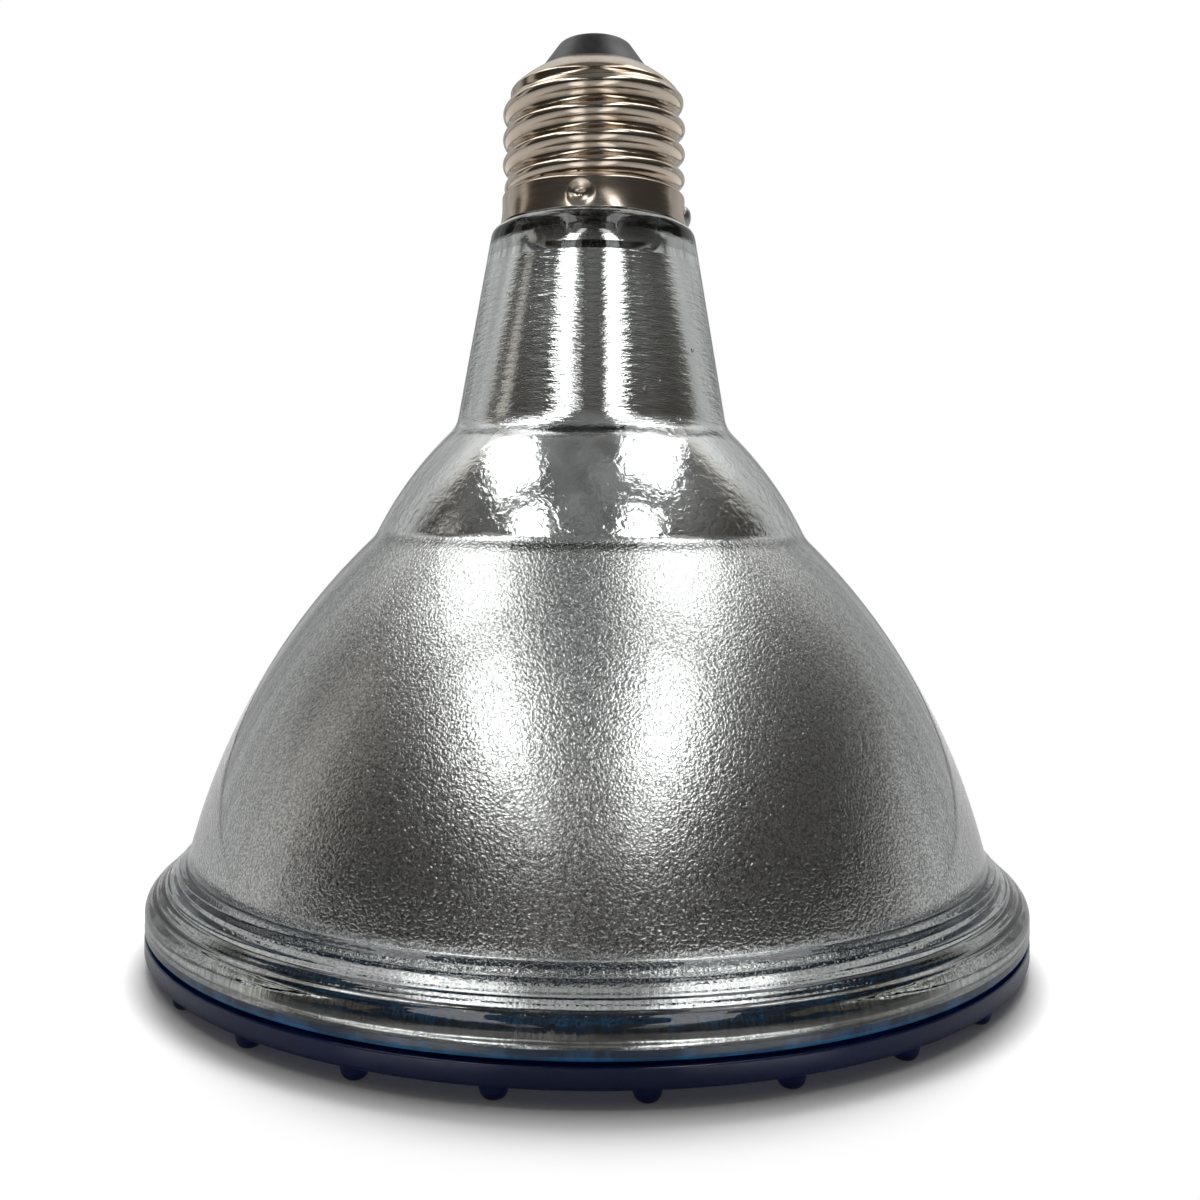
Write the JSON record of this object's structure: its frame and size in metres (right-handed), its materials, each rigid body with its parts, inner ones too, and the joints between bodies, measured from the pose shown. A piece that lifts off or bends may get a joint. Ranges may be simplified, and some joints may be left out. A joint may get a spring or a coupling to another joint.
{
  "type": "par spotlight bulb",
  "caption": "Reflector spotlight bulb with a stepped mirrored glass bowl, a blue glass lens rimmed with small nubs, and a nickel screw base for a mains lamp holder.",
  "frame": {"origin": "on the lamp's axis, in the plane of the nub tips that the lamp stands on", "axes": "+Z along the lamp's axis from the lens to the base contact, -Y towards the side that the picture shows, +X to its right"},
  "size_m": [0.121, 0.121, 0.128],
  "materials": {
    "blue_glass": "deep blue pressed glass, polished",
    "clear_glass": "clear pressed glass with a fine stippled inner face",
    "nickel_plate": "bright nickel plate on rolled brass",
    "black_insulator": "satin black moulded insulator",
    "contact_brass": "plain stamped brass",
    "solder": "dull tin solder",
    "stem_glass": "clear drawn glass",
    "lead_wire": "drawn nickel wire",
    "tungsten": "grey coiled tungsten",
    "mirror_film": "bright aluminium film on the inside of the glass"
  },
  "bodies": {
    "root": {"front_lens": "blue_glass", "reflector_glass": "clear_glass", "screw_shell": "nickel_plate", "base_insulator": "black_insulator", "centre_contact": "contact_brass", "contact_solder": "solder", "side_solder": "solder", "glass_stem": "stem_glass", "lead_wire_centre": "lead_wire", "lead_wire_side": "lead_wire", "filament": "tungsten", "anchor_wires": "lead_wire"}
  },
  "joints": []
}
